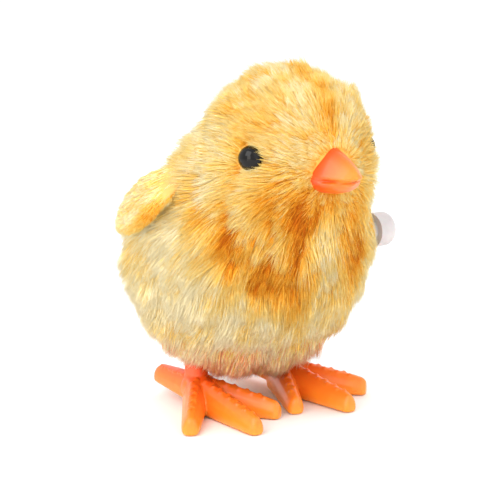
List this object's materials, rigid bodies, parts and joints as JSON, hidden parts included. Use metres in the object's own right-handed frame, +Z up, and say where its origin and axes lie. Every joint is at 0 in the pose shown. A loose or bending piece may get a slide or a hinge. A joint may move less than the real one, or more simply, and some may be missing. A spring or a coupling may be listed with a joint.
{
  "type": "wind-up hopping chick",
  "caption": "Plush wind-up chick: furry body over a plastic shell with a spring clockwork, a side winding knob and two feet that kick together.",
  "frame": {"origin": "on the ground, under the middle of the toy's overall box", "axes": "+Z up; the chick faces -Y; +X is the chick's own left side, where the winding knob is"},
  "size_m": [0.064, 0.0608, 0.0745],
  "materials": {
    "plush": "deep cream-yellow pile",
    "wing_plush": "short cream-yellow pile",
    "orange_plastic": "soft satin gloss",
    "beak_plastic": "soft satin gloss",
    "eye_plastic": "polished",
    "knob_plastic": "satin",
    "shell_plastic": "moulded, unpainted",
    "case_plastic": "moulded, unpainted",
    "gear_plastic": "moulded acetal",
    "pinion_plastic": "moulded acetal",
    "steel": "plain",
    "spring_steel": "blued strip"
  },
  "bodies": {
    "body": {"fur_coat": "plush", "wing_left": "wing_plush", "wing_right": "wing_plush", "beak": "beak_plastic", "beak_washer": "case_plastic", "eye_left": "eye_plastic", "eye_right": "eye_plastic", "eye_washers": "case_plastic", "shell_left": "shell_plastic", "shell_right": "shell_plastic", "shell_screws": "steel", "case_left": "case_plastic", "case_right": "case_plastic", "case_screws": "steel", "mainspring": "spring_steel", "return_spring": "spring_steel"},
    "drive": {"drive_gear": "gear_plastic"},
    "pawl_arm": {"pawl": "pinion_plastic"},
    "winder": {"ratchet_wheel": "pinion_plastic", "winding_arbor": "steel", "winding_knob": "knob_plastic"},
    "second": {"second_wheel": "gear_plastic", "second_axle": "steel"},
    "third": {"third_wheel": "gear_plastic", "third_axle": "steel"},
    "cam": {"cam_wheel": "pinion_plastic", "cam_axle": "steel"},
    "legs": {"leg_rocker": "gear_plastic", "foot_left": "orange_plastic", "foot_right": "orange_plastic", "foot_screws": "steel"}
  },
  "joints": [
    {"name": "drive_run", "type": "hinge", "parent": "body", "child": "drive", "pos_m": [0, -0.0044, 0.036], "axis": [1, 0, 0], "continuous": true},
    {"name": "wind", "type": "hinge", "parent": "drive", "child": "winder", "pos_m": [0, -0.0044, 0.036], "axis": [1, 0, 0], "continuous": true, "deforming": ["mainspring"]},
    {"name": "pawl_lift", "type": "hinge", "parent": "drive", "child": "pawl_arm", "pos_m": [0, -0.00122, 0.04109], "axis": [1, 0, 0], "range_deg": [0, 10], "stiffness_Nm_per_rad": 0.0001, "springref_deg": -5.73},
    {"name": "second_turn", "type": "hinge", "parent": "body", "child": "second", "pos_m": [0, 0.0056, 0.036], "axis": [1, 0, 0], "continuous": true},
    {"name": "third_turn", "type": "hinge", "parent": "body", "child": "third", "pos_m": [0, 0.01074, 0.02987], "axis": [1, 0, 0], "continuous": true},
    {"name": "cam_turn", "type": "hinge", "parent": "body", "child": "cam", "pos_m": [0, 0.00411, 0.0254], "axis": [1, 0, 0], "continuous": true},
    {"name": "leg_kick", "type": "hinge", "parent": "body", "child": "legs", "pos_m": [0, 0.0078, 0.02], "axis": [1, 0, 0], "range_deg": [0, 15], "stiffness_Nm_per_rad": 0.004, "springref_deg": -17.19, "deforming": ["return_spring"]}
  ],
  "couplings": [
    {"joint": "second_turn", "follows": "drive_run", "ratio": -4},
    {"joint": "third_turn", "follows": "drive_run", "ratio": 12},
    {"joint": "cam_turn", "follows": "drive_run", "ratio": -36}
  ]
}
